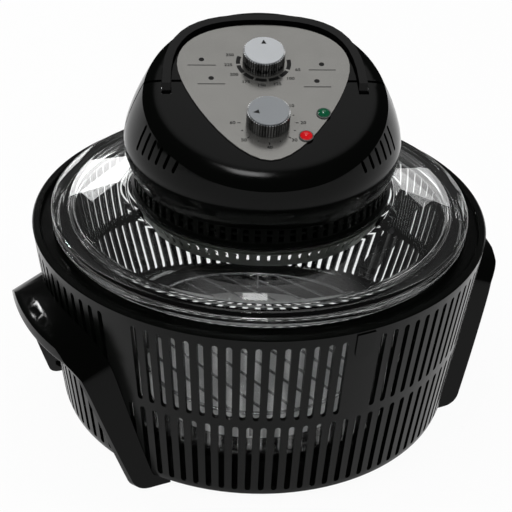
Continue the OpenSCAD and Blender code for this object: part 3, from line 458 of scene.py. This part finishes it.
class Bench:
    """Modelling steps that the sub-assemblies share, each by Blender's own operators."""

    @staticmethod
    def clear() -> None:
        """Deselects everything."""
        for item in bpy.context.selected_objects:
            item.select_set(False)

    @staticmethod
    def pick(piece: bpy.types.Object) -> None:
        """Makes one piece the only selected and active one.

        Args:
            piece: The piece.
        """
        Bench.clear()
        piece.select_set(True)
        bpy.context.view_layer.objects.active = piece

    @staticmethod
    def edit(piece: bpy.types.Object, *steps: Callable[[], object]) -> None:
        """Runs operators on all of a piece in edit mode.

        Args:
            piece: The piece.
            steps: Calls without arguments, run in order.
        """
        Bench.pick(piece)
        bpy.ops.object.mode_set(mode="EDIT")
        bpy.ops.mesh.select_all(action="SELECT")
        for step in steps:
            step()
        bpy.ops.object.mode_set(mode="OBJECT")

    @staticmethod
    def rename(piece: bpy.types.Object, name: str) -> bpy.types.Object:
        """Names a piece and its mesh.

        Args:
            piece: The piece.
            name: The name of both.

        Returns:
            The same piece.
        """
        piece.name = name
        piece.data.name = name
        return piece

    @staticmethod
    def settle(piece: bpy.types.Object, place: Matrix) -> None:
        """Puts a piece's place into its mesh, so that its object sits at the origin."""
        piece.data.transform(place @ piece.matrix_basis)
        piece.matrix_basis = Matrix.Identity(4)

    @staticmethod
    def modify(piece: bpy.types.Object, kind: str, **settings: object) -> None:
        """Adds a modifier and applies it.

        Args:
            piece: The piece.
            kind: The modifier's type.
            settings: Its properties.
        """
        Bench.pick(piece)
        made = piece.modifiers.new(kind.lower(), kind)
        for key, value in settings.items():
            setattr(made, key, value)
        bpy.ops.object.modifier_apply(modifier=made.name)

    @staticmethod
    def smooth(piece: bpy.types.Object, angle: float) -> None:
        """Shades a piece smooth, except over edges sharper than an angle in degrees."""
        Bench.pick(piece)
        bpy.ops.object.shade_smooth_by_angle(angle=math.radians(angle))

    @staticmethod
    def lathe(name: str, profile: Sequence[Point], steps: int) -> bpy.types.Object:
        """A turned piece: a ring of points laid on its profile and spun about Z.

        Args:
            name: The piece's name.
            profile: The closed profile as radius and height, in millimetres.
            steps: The facets round it.

        Returns:
            The piece, closed, with its faces outwards.
        """
        Bench.clear()
        bpy.ops.mesh.primitive_circle_add(vertices=len(profile), radius=0.01)
        piece = Bench.rename(bpy.context.active_object, name)
        for corner, (radius, height) in zip(piece.data.vertices, profile):
            corner.co = (radius * MM, 0, height * MM)
        Bench.edit(
            piece,
            lambda: bpy.ops.mesh.spin(
                steps=steps, angle=math.tau, center=(0, 0, 0), axis=(0, 0, 1)
            ),
            lambda: bpy.ops.mesh.select_all(action="SELECT"),
            lambda: bpy.ops.mesh.remove_doubles(threshold=0.00001),
            lambda: bpy.ops.mesh.normals_make_consistent(inside=False),
        )
        return piece

    @staticmethod
    def shell(node: str, name: str, bevel: float, angle: float) -> bpy.types.Object:
        """A smooth skin with a CAD node's own shape.

        Args:
            node: The CAD node.
            name: The piece's name.
            bevel: The radius of its broken edges in millimetres, or 0 for none.
            angle: The sharpest edge that is shaded smooth, in degrees.

        Returns:
            The skin, which stands for the node and rides with it.
        """
        source = frame["nodes"][node]
        piece = bpy.data.objects.new(name, source.data.copy())
        piece.data.name = name
        piece.data.materials.clear()
        bpy.context.scene.collection.objects.link(piece)
        if piece.data.has_custom_normals:
            Bench.pick(piece)
            bpy.ops.mesh.customdata_custom_splitnormals_clear()
        Bench.edit(piece, lambda: bpy.ops.mesh.remove_doubles(threshold=0.000002))
        if bevel:
            Bench.edit(
                piece, lambda: bpy.ops.mesh.dissolve_limited(angle_limit=math.radians(0.5))
            )
            Bench.modify(
                piece,
                "BEVEL",
                width=bevel * MM,
                segments=2,
                limit_method="ANGLE",
                angle_limit=math.radians(35),
            )
        Bench.smooth(piece, angle)
        if bevel:
            Bench.modify(piece, "WEIGHTED_NORMAL", keep_sharp=True)
        body = next(b for b, ns in frame["record"]["behaviour"]["bodies"].items() if node in ns)
        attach(piece, body)
        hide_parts(node)
        return piece


def arc(x: float, z: float, r: float, a0: float, a1: float, n: int) -> list[Point]:
    """The n + 1 points of an arc about (x, z) from angle a0 to a1, in degrees."""
    angles = [math.radians(a0 + (a1 - a0) * i / n) for i in range(n + 1)]
    return [(x + r * math.cos(a), z + r * math.sin(a)) for a in angles]


def dress(piece: bpy.types.Object, finish: Finish, body: Optional[str] = None) -> None:
    """Gives a piece its finish.

    Args:
        piece: The piece.
        finish: The finish.
        body: The body that it rides on, where it hasn't one yet.
    """
    piece.data.materials.clear()
    piece.data.materials.append(Looks.get(finish))
    if body:
        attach(piece, body)
    LOG.info("%s: %s, %d faces", piece.name, finish.name, len(piece.data.polygons))


# ---------------------------------------------------------------- sub-assemblies


@dataclass
class NodeSkins:
    """CAD nodes that keep their form and get a smooth skin or only a finish.

    Attributes:
        skins: Each node's finish, record slot and edge radius in millimetres.
        bare: The finish of each inner node that needs no skin.
        crisp: The smoothing angle of fluted pieces, in degrees.
        soft: The smoothing angle of all others.
    """

    skins: dict[str, tuple[Finish, str, float]] = field(
        default_factory=lambda: {
            "stand_basket": (Looks.BASKET, "gloss_black", 0),
            "handle_left": (Looks.BLACK, "gloss_black", 1.2),
            "handle_right": (Looks.BLACK, "gloss_black", 1.2),
            "foot_pads": (Looks.RUBBER, "black_rubber", 0),
            "wire_rack": (Looks.WIRE, "bright_wire", 0),
            "upper_gasket": (Looks.GASKET, "gasket_rubber", 0),
            "lower_gasket": (Looks.GASKET, "gasket_rubber", 0),
            "vent_skirt": (Looks.SKIRT, "gloss_black", 0),
            "front_housing": (Looks.BLACK, "gloss_black", 0),
            "rear_housing": (Looks.BLACK, "gloss_black", 0),
            "base_screws": (Looks.ZINC, "zinc_steel", 0),
            "guard_screws": (Looks.ZINC, "zinc_steel", 0),
            "handle_screws": (Looks.ZINC, "zinc_steel", 0),
            "faceplate": (Looks.PLATE, "silver_face", 0.35),
            "lamp_bezels": (Looks.BEZEL, "grey_bezel", 0.2),
            "green_lens": (Looks.GREEN, "green_lamp", 0),
            "red_lens": (Looks.RED, "red_lamp", 0),
            "cord_inlet": (Looks.RUBBER, "black_rubber", 0.6),
            "guard_ring": (Looks.GUARD, "guard_steel", 0),
            "fan_guard": (Looks.WIRE, "bright_wire", 0),
            "reflector": (Looks.GUARD, "guard_steel", 0),
            "heater_tube": (Looks.QUARTZ, "quartz", 0),
            "heater_ends": (Looks.CERAMIC, "ceramic", 0.4),
            "heater_clips": (Looks.ZINC, "zinc_steel", 0),
            "fan_shaft": (Looks.SHAFT, "shaft_steel", 0),
            "hot_air_fan": (Looks.FAN, "fan_aluminium", 0),
            "cooling_fan": (Looks.FAN, "fan_aluminium", 0),
            "fan_nut": (Looks.ZINC, "zinc_steel", 0.3),
            "temperature_dial": (Looks.CHROME, "dial_chrome", 0),
            "timer_dial": (Looks.TIMER_CHROME, "dial_chrome", 0),
            "temperature_cap": (Looks.DIAL_TOP, "dial_top", 0.15),
            "timer_cap": (Looks.TIMER_TOP, "dial_top", 0.15),
            "carrying_handle": (Looks.BAIL, "silver_handle", 1.4),
            "handle_pins": (Looks.SHAFT, "zinc_steel", 0),
        }
    )
    bare: dict[str, Finish] = field(
        default_factory=lambda: {
            "lamp_bodies": Looks.CREAM,
            "thermostat": Looks.CONTROL,
            "timer": Looks.CONTROL,
            "control_screws": Looks.ZINC,
            "motor": Looks.MOTOR,
            "motor_bracket": Looks.ZINC,
            "terminal_block": Looks.CREAM,
            "thermal_cutout": Looks.ZINC,
            "safety_switch": Looks.SWITCH,
            "temperature_spindle": Looks.SHAFT,
            "timer_spindle": Looks.SHAFT,
            "switch_plunger": Looks.CREAM,
        }
    )
    crisp: float = 12
    soft: float = 30

    def build(self) -> None:
        """Makes the skins and dresses the nodes that stay."""
        for node, (finish, slot, bevel) in self.skins.items():
            angle = self.crisp if isinstance(finish, Fluted) else self.soft
            dress(Bench.shell(node, node + "_skin", bevel, angle), finish)
        for node, finish in self.bare.items():
            piece = frame["nodes"][node]
            piece.data.materials.clear()
            piece.data.materials.append(Looks.get(finish))
            LOG.info("%s: %s", node, finish.name)


@dataclass
class GlassWare:
    """The pressed glass bowl and lid, with their rims rounded as the real ones are.

    Sizes are in millimetres; ease keeps the rack's feet just clear of the bowl's floor.
    """

    seat_z: float = 176
    bowl_low: float = 15
    wall: float = 4.5
    corner: float = 32
    foot_r: float = 147
    flange_r: float = 166.5
    mouth_r: float = 153.5
    lid_r: float = 167.5
    hole_r: float = 88
    ease: float = 0.15
    facets: int = 192
    smooth_below: float = 50

    def bowl_profile(self) -> list[Point]:
        """The bowl's closed profile.

        Returns:
            Radius and height from the middle of the underside round to the inside.
        """
        x, z = self.foot_r - self.corner, self.bowl_low + self.corner
        top = self.mouth_r + self.wall
        low = self.seat_z - 5.5
        return [
            (0, self.bowl_low),
            (102.5, self.bowl_low),
            *arc(108, 17.5, 4.4, 215, 325, 6),
            (113.5, self.bowl_low),
            *arc(x, z, self.corner, 272, 355, 16),
            (top, low - 4.5),
            *arc(top + 4, low - 4, 4, 180, 90, 5)[1:],
            *arc(self.flange_r - 2.4, low + 2.75, 2.7, -80, 80, 8),
            *arc(self.mouth_r + 2, self.seat_z - 2, 2, 90, 180, 5),
            *arc(x, z, self.corner - self.wall + self.ease, 355, 270, 16),
            (0, self.bowl_low + self.wall - self.ease),
        ]

    def lid_profile(self) -> list[Point]:
        """The lid's closed profile.

        Returns:
            Radius and height from the hole's lower edge round to the rim and back.
        """
        return [
            (self.hole_r, 193.2),
            (self.hole_r, 197.3),
            (self.hole_r + 0.3, 197.5),
            (104, 197.5),
            (108, 197.2),
            (113, 196.0),
            (152.6, 183.4),
            (155.0, 182.9),
            *arc(158, 179.6, 3.9, 100, 80, 3),
            *arc(self.lid_r - 3.6, self.seat_z + 3.8, 3.6, 80, -80, 10),
            (161, self.seat_z),
            (153.4, self.seat_z),
            *arc(152.9 - 1.7, 171 + 1.7, 1.7, 0, -180, 8),
            (149.4, 178.6),
            *arc(146.5, 177.6, 3.1, 20, 75, 4),
            (108, 192.6),
            (106, 193),
        ]

    def build(self) -> None:
        """Spins both profiles and dresses them."""
        for name, node, body, profile in (
            ("bowl_glass", "glass_bowl", "bowl", self.bowl_profile()),
            ("lid_glass", "glass_lid", "lid", self.lid_profile()),
        ):
            piece = Bench.lathe(name, profile, self.facets)
            Bench.smooth(piece, self.smooth_below)
            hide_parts(node)
            dress(piece, Looks.GLASS, body)


class Print(Enum):
    """Which part of the control face a printed mark belongs to."""

    TEMPERATURE = "temperature"
    TIMER = "timer"
    PRESET = "preset"


@dataclass
class ControlFace:
    """The sloping face: printed scales, plain rules and the dials' pointers.

    Lengths are in millimetres and angles in degrees, clockwise from the top on the scales.
    """

    plate_t: float = 1.0
    ink_t: float = 0.06
    dial_r: float = 16.3
    dial_h: float = 12.5
    timer_rest: float = 100
    figure_h: float = 4.3
    figure_bold: float = 0.09
    band_in: float = 18.2
    band_out: float = 21.4
    band_edges: tuple[float, ...] = (
        80, 112, 118, 141, 146, 171, 176, 201, 206, 231, 236, 261, 266, 291
    )
    heats: tuple[int, ...] = (65, 100, 125, 150, 175, 200, 225, 250)
    heat_from: int = 108
    heat_step: int = 26
    heat_r: tuple[float, float] = (27.5, 27.5 * 0.93)
    minute_turn: float = 4.5
    minute_r: tuple[float, float] = (26.4, 25.6)
    tick_r: float = 20.5
    tick_half: float = 0.35
    tick_long: float = 2.4
    tick_short: float = 1.4
    rule_half: float = 0.4
    rule_spots: tuple[tuple[float, float, float], ...] = (
        (-48, 14, 22),
        (-41, -7, 21),
        (45, 9, 21),
        (40, -10, 21),
    )
    dot_r: float = 2.1
    dot_above: float = 6.5

    def place(self, s: float, t: float, h: float) -> Matrix:
        """The matrix that puts a piece on the face.

        Args:
            s: Millimetres across the face.
            t: Millimetres up the face.
            h: Millimetres out of it.

        Returns:
            The matrix from the face's own frame to the part's.
        """
        turn = Matrix.Rotation(math.radians(FACE_TILT), 4, "X")
        return (
            Matrix.Translation((0, 0, FACE_Z * MM))
            @ turn
            @ Matrix.Translation((s * MM, t * MM, h * MM))
        )

    def slab(self, name: str, outline: Sequence[Point], spot: Matrix) -> bpy.types.Object:
        """A thin flat mark.

        Args:
            name: The piece's name.
            outline: Its corners, in millimetres.
            spot: The matrix that puts it on the face.

        Returns:
            The mark, closed, with its place in its mesh.
        """
        Bench.clear()
        bpy.ops.mesh.primitive_circle_add(vertices=len(outline), radius=0.01, fill_type="NGON")
        piece = Bench.rename(bpy.context.active_object, name)
        for corner, (x, y) in zip(piece.data.vertices, outline):
            corner.co = (x * MM, y * MM, 0)
        Bench.edit(
            piece,
            lambda: bpy.ops.mesh.extrude_region_move(
                TRANSFORM_OT_translate={"value": (0, 0, self.ink_t * MM)}
            ),
            lambda: bpy.ops.mesh.select_all(action="SELECT"),
            lambda: bpy.ops.mesh.normals_make_consistent(inside=False),
        )
        Bench.settle(piece, spot)
        return piece

    def figure(
        self, name: str, value: int, angle: float, middle: float, away: Point
    ) -> bpy.types.Object:
        """A plain printed number.

        Args:
            name: The piece's name.
            value: The number.
            angle: Where it stands round its dial.
            middle: Millimetres up the face to the dial's middle.
            away: How far it stands out, across and up the face.

        Returns:
            The number as a mesh, centred on its spot.
        """
        turn = math.radians(90 - angle)
        spot = self.place(
            away[0] * math.cos(turn),
            middle + away[1] * math.sin(turn),
            self.plate_t + self.ink_t / 2,
        )
        Bench.clear()
        bpy.ops.object.text_add()
        piece = bpy.context.active_object
        piece.data.body = str(value)
        piece.data.size = self.figure_h * MM
        piece.data.extrude = self.ink_t * MM / 2
        piece.data.offset = self.figure_bold * MM
        piece.data.align_x = "CENTER"
        piece.data.align_y = "CENTER"
        Bench.pick(piece)
        bpy.ops.object.convert(target="MESH")
        piece = Bench.rename(bpy.context.active_object, name)
        Bench.settle(piece, spot)
        return piece

    def band(self, a0: float, a1: float) -> list[Point]:
        """One segment of the band round the upper dial.

        Args:
            a0: The angle at which it begins.
            a1: The angle at which it ends.

        Returns:
            Its outline.
        """
        steps = max(3, int(abs(a1 - a0) / 4))
        outer = arc(0, 0, self.band_out, 90 - a0, 90 - a1, steps)
        inner = arc(0, 0, self.band_in, 90 - a1, 90 - a0, steps)
        return outer + inner

    @staticmethod
    def bar(half: float, low: float, high: float) -> list[Point]:
        """The outline of an upright rectangle."""
        return [(-half, low), (half, low), (half, high), (-half, high)]

    def temperature_scale(self) -> list[bpy.types.Object]:
        """The black segmented band and its numbers.

        Returns:
            The marks, still apart.
        """
        spot = self.place(0, TEMPERATURE_T, self.plate_t)
        marks = []
        for number, edges in enumerate(zip(self.band_edges[::2], self.band_edges[1::2])):
            marks.append(self.slab(f"band_{number}", self.band(*edges), spot))
        for number, value in enumerate(self.heats):
            angle = self.heat_from + number * self.heat_step
            marks.append(
                self.figure(f"heat_{value}", value, angle, TEMPERATURE_T, self.heat_r)
            )
        return marks

    def timer_scale(self) -> list[bpy.types.Object]:
        """Ticks every five minutes round the timer's dial, and numbers every ten.

        Returns:
            The marks, still apart.
        """
        marks = []
        middle = self.place(0, TIMER_T, self.plate_t)
        for minute in range(5, 65, 5):
            angle = minute * self.minute_turn
            numbered = minute % 10 == 0
            length = self.tick_long if numbered else self.tick_short
            outline = self.bar(self.tick_half, self.tick_r, self.tick_r + length)
            spot = middle @ Matrix.Rotation(math.radians(-angle), 4, "Z")
            marks.append(self.slab(f"tick_{minute}", outline, spot))
            if numbered:
                marks.append(
                    self.figure(f"minute_{minute}", minute, angle, TIMER_T, self.minute_r)
                )
        return marks

    def rules(self) -> list[bpy.types.Object]:
        """Four plain rules, each with a dot over it.

        Returns:
            The marks, still apart.
        """
        marks = []
        for number, (s, t, width) in enumerate(self.rule_spots):
            outline = self.bar(width / 2, -self.rule_half, self.rule_half)
            marks.append(self.slab(f"rule_{number}", outline, self.place(s, t, self.plate_t)))
            dot = arc(0, 0, self.dot_r, 0, 345, 23)
            spot = self.place(s, t + self.dot_above, self.plate_t)
            marks.append(self.slab(f"dot_{number}", dot, spot))
        return marks

    def pointer(self, name: str, t: float, turn: float) -> bpy.types.Object:
        """The black triangle on a dial's top.

        Args:
            name: The piece's name.
            t: Millimetres up the face to the dial's middle.
            turn: Where it rests, in degrees anticlockwise from the top.

        Returns:
            The triangle.
        """
        base = self.plate_t + self.dial_h
        outline = [(-2.1, self.dial_r - 9), (2.1, self.dial_r - 9), (0, self.dial_r - 4.1)]
        spot = self.place(0, t, base) @ Matrix.Rotation(math.radians(turn), 4, "Z")
        return self.slab(name, outline, spot)

    @staticmethod
    def gather(marks: Sequence[bpy.types.Object], name: str) -> bpy.types.Object:
        """Joins printed marks.

        Args:
            marks: The marks.
            name: The name of the joined piece.

        Returns:
            The one piece.
        """
        Bench.clear()
        for mark in marks:
            mark.select_set(True)
        bpy.context.view_layer.objects.active = marks[0]
        bpy.ops.object.join()
        return Bench.rename(bpy.context.active_object, name)

    def build(self) -> None:
        """Prints the face and sets the pointers."""
        for kind, marks in (
            (Print.TEMPERATURE, self.temperature_scale()),
            (Print.TIMER, self.timer_scale()),
            (Print.PRESET, self.rules()),
        ):
            dress(self.gather(marks, kind.value + "_print"), Looks.INK, "lid")
        for name, body, t, turn in (
            ("temperature_pointer", "temperature_control", TEMPERATURE_T, 0),
            ("timer_pointer", "timer_control", TIMER_T, self.timer_rest),
        ):
            dress(self.pointer(name, t, turn), Looks.INK, body)


# ---------------------------------------------------------------- studio


@dataclass
class View:
    """The photograph's camera, fitted to circles and edges of the part.

    Places and the sensor are in millimetres, the roll in degrees.
    """

    eye: tuple[float, float, float] = (-78.9, -980.2, 739.7)
    target: tuple[float, float, float] = (-1.6, 0.1, 127.7)
    roll: float = 2.1
    sensor: float = 36
    focal_widths: float = 1400 / 512

    def build(self) -> None:
        """Makes the camera and makes it the scene's."""
        lens = bpy.data.cameras.new("photo_camera")
        lens.sensor_width = self.sensor
        lens.lens = self.focal_widths * self.sensor
        lens.clip_start, lens.clip_end = 0.05, 50
        camera = bpy.data.objects.new("photo_camera", lens)
        bpy.context.scene.collection.objects.link(camera)
        eye, target = Vector(self.eye) * MM, Vector(self.target) * MM
        aim = (target - eye).to_track_quat("-Z", "Y").to_matrix().to_4x4()
        turn = Matrix.Rotation(math.radians(self.roll), 4, "Z")
        camera.matrix_world = Matrix.Translation(eye) @ aim @ turn
        bpy.context.scene.camera = camera


@dataclass(frozen=True)
class Softbox:
    """A rectangular studio light that faces a point on the part, in metres and watts."""

    name: str
    spot: tuple[float, float, float]
    width: float
    height: float
    power: float
    aim: tuple[float, float, float] = (0, 0, 0.15)
    mirrored: bool = True

    def build(self) -> None:
        """Makes the light; only a mirrored one shows in glossy surfaces."""
        data = bpy.data.lights.new(self.name, "AREA")
        data.shape = "RECTANGLE"
        data.size, data.size_y = self.width, self.height
        data.energy = self.power
        lamp = bpy.data.objects.new(self.name, data)
        bpy.context.scene.collection.objects.link(lamp)
        lamp.location = self.spot
        lamp.rotation_mode = "QUATERNION"
        away = Vector(self.aim) - Vector(self.spot)
        lamp.rotation_quaternion = away.to_track_quat("-Z", "Y")
        lamp.visible_glossy = self.mirrored


@dataclass
class Studio:
    """A pale floor, a white backdrop, and a dark room with a white panel overhead.

    Attributes:
        floor_half: Half the floor's width, in metres.
        floor_tone: The floor's own grey.
        shade_from: The radius in metres within which the floor stays shaded.
        shade_to: The radius beyond which it shows white.
        shaded: The share of white inside that radius.
        cleared: What the share gains outside it.
        overhead: The direction of the panel's middle.
        panel_from: The cosine at which the panel begins.
        panel_to: The cosine at which it is fully white.
        room: The grey of the room as glossy surfaces see it.
        ambient: The light that the room gives.
        softboxes: The lamps.
    """

    floor_half: float = 6.0
    floor_tone: float = 0.82
    shade_from: float = 0.12
    shade_to: float = 0.15
    shaded: float = 0.07
    cleared: float = 0.88
    overhead: tuple[float, float, float] = (0.08, 0.49, 0.868)
    panel_from: float = 0.97
    panel_to: float = 0.988
    room: float = 0.08
    ambient: float = 0.5
    softboxes: tuple[Softbox, ...] = (
        Softbox("key", (-1.3, -1.1, 1.9), 1.2, 1.2, 14, mirrored=False),
        Softbox("side", (1.8, -0.2, 1.2), 1.0, 1.0, 7, mirrored=False),
        Softbox("front", (-0.25, -2.2, 0.7), 0.5, 0.5, 3, mirrored=False),
        Softbox("dome_glint", (0.01, 0.25, 2.3), 0.22, 0.3, 3, aim=(-0.01, -0.09, 0.26)),
        Softbox("left_glint", (-0.84, 2.32, 0.93), 0.7, 0.5, 6, aim=(-0.13, 0.02, 0.19)),
        Softbox("right_glint", (1.19, 2.16, 0.88), 0.5, 0.5, 1.6, aim=(0.13, 0.02, 0.19)),
        Softbox("grip_glint", (-1.36, 1.02, 1.12), 0.24, 0.16, 6, aim=(-0.18, -0.08, 0.13)),
    )

    def floor(self) -> None:
        """The floor, which is white to the camera but keeps the shade under the part."""
        Bench.clear()
        bpy.ops.mesh.primitive_plane_add(size=2 * self.floor_half, location=(0, 0, -0.0005))
        piece = Bench.rename(bpy.context.active_object, "studio_floor")
        Bench.edit(piece, lambda: bpy.ops.mesh.subdivide(number_cuts=4))
        made = bpy.data.materials.new("studio_white")
        made.use_nodes = True
        kit = NodeKit(made.node_tree)
        drift = kit.noise(0.8, 2)
        colour = kit.blend(drift, grey(self.floor_tone), grey(self.floor_tone * 1.01))
        matt = kit.node("ShaderNodeBsdfDiffuse", None, {"Color": colour})
        light = kit.node("ShaderNodeEmission", None, {"Strength": 1.0})
        away = kit.node(
            "ShaderNodeVectorMath", {"operation": "LENGTH"}, {0: kit.place()}, "Value"
        )
        clear = kit.step(away, self.shade_from, self.shade_to)
        share = self.seen(kit) * (clear * self.cleared + self.shaded)
        mixed = kit.node("ShaderNodeMixShader", None, {0: share, 1: matt, 2: light})
        kit.node("ShaderNodeOutputMaterial", None, {"Surface": mixed})
        piece.data.materials.append(made)

    @staticmethod
    def seen(kit: NodeKit) -> Wire:
        """Picks out the rays that show the background.

        Args:
            kit: The nodes of the floor's material or of the world.

        Returns:
            1 for rays by sight, by reflection or through glass, else 0.
        """
        rays = [
            kit.node("ShaderNodeLightPath", output=name)
            for name in ("Is Camera Ray", "Is Glossy Ray", "Is Transmission Ray")
        ]
        return kit.maths("MINIMUM", rays[0] + rays[1] + rays[2], 1.0)

    def world(self) -> None:
        """A white backdrop low down, and one white panel overhead in a dark room."""
        made = bpy.data.worlds.new("studio_world")
        made.use_nodes = True
        bpy.context.scene.world = made
        kit = NodeKit(made.node_tree)
        direction = kit.node("ShaderNodeTexCoord", output="Generated")
        height = kit.node("ShaderNodeSeparateXYZ", None, {0: direction}, "Z")
        shown = kit.ramp(
            height * 0.5 + 0.5,
            ((0.0, 1.0), (0.5, 0.9), (0.53, self.room), (1.0, self.room)),
        )
        toward = kit.node(
            "ShaderNodeVectorMath",
            {"operation": "DOT_PRODUCT"},
            {0: direction, 1: self.overhead},
            "Value",
        )
        panel = kit.step(toward, self.panel_from, self.panel_to)
        sight = kit.node("ShaderNodeLightPath", output="Is Camera Ray")
        for white in (panel, sight):
            shown = kit.blend(white, shown, grey(1))
        light = kit.blend(self.seen(kit), grey(self.ambient), shown)
        back = kit.node("ShaderNodeBackground", None, {"Color": light, "Strength": 1.0})
        kit.node("ShaderNodeOutputWorld", None, {"Surface": back})

    def build(self) -> None:
        """Sets up the floor, the world and the lights."""
        self.floor()
        self.world()
        for softbox in self.softboxes:
            softbox.build()
        bpy.context.scene.view_settings.view_transform = "Standard"


def main() -> None:
    """Builds everything in order."""
    logging.basicConfig(level=logging.INFO, format="%(message)s")
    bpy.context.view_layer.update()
    for part in (View(), NodeSkins(), GlassWare(), ControlFace(), Studio()):
        part.build()


if __name__ == "__main__":
    main()
